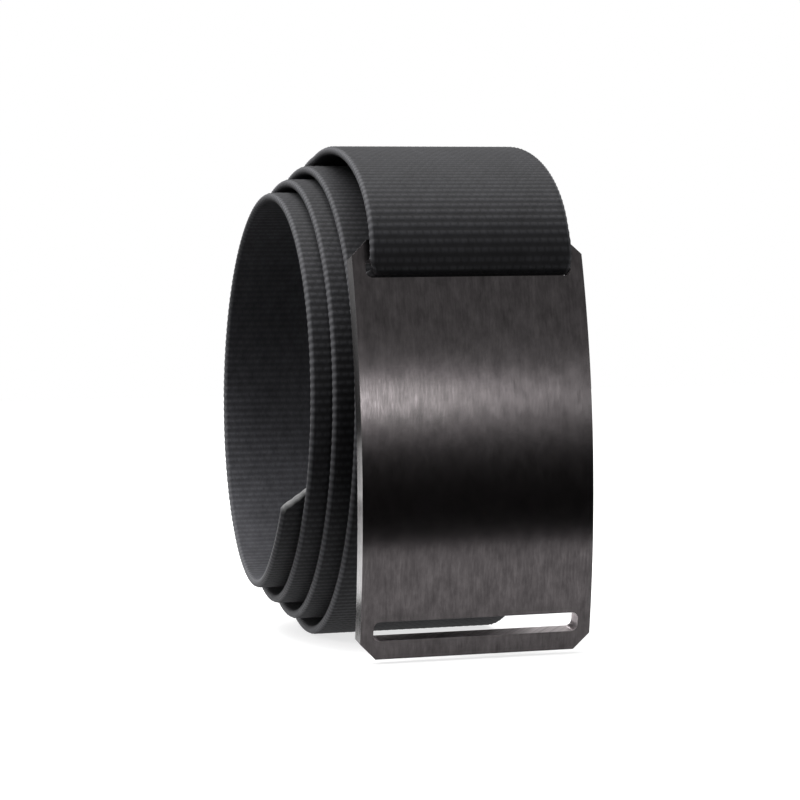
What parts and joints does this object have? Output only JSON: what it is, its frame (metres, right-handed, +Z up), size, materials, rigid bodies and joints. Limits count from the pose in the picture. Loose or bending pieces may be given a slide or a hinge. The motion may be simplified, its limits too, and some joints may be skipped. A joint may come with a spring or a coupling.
{
  "type": "webbing belt",
  "caption": "Rolled-up webbing belt: a flat woven strap whose sewn end hangs a curved slotted plate buckle that swings on the strap's fold.",
  "frame": {"origin": "on the ground under the middle of the rolled belt's bounding box", "axes": "+X across the webbing, towards the side where the outer turns lie; -Y is the side that the buckle faces; +Z up"},
  "size_m": [0.0566, 0.1126, 0.0961],
  "materials": {
    "webbing": "black polyamide webbing, rib weave, matt with a faint sheen",
    "buckle_metal": "brushed along its length, dark gunmetal coating",
    "steel": "plain rolled strip",
    "thread": "black bonded polyester sewing thread"
  },
  "bodies": {
    "strap": {"strap": "webbing", "retainer_bar": "steel", "hem_thread_1": "thread", "hem_thread_2": "thread"},
    "buckle": {"buckle_plate": "buckle_metal"}
  },
  "joints": [
    {"name": "buckle_swing", "type": "hinge", "parent": "strap", "child": "buckle", "pos_m": [0.00183, -0.05044, 0.07359], "axis": [-1, 0, 0], "range_deg": [0, 75]}
  ]
}
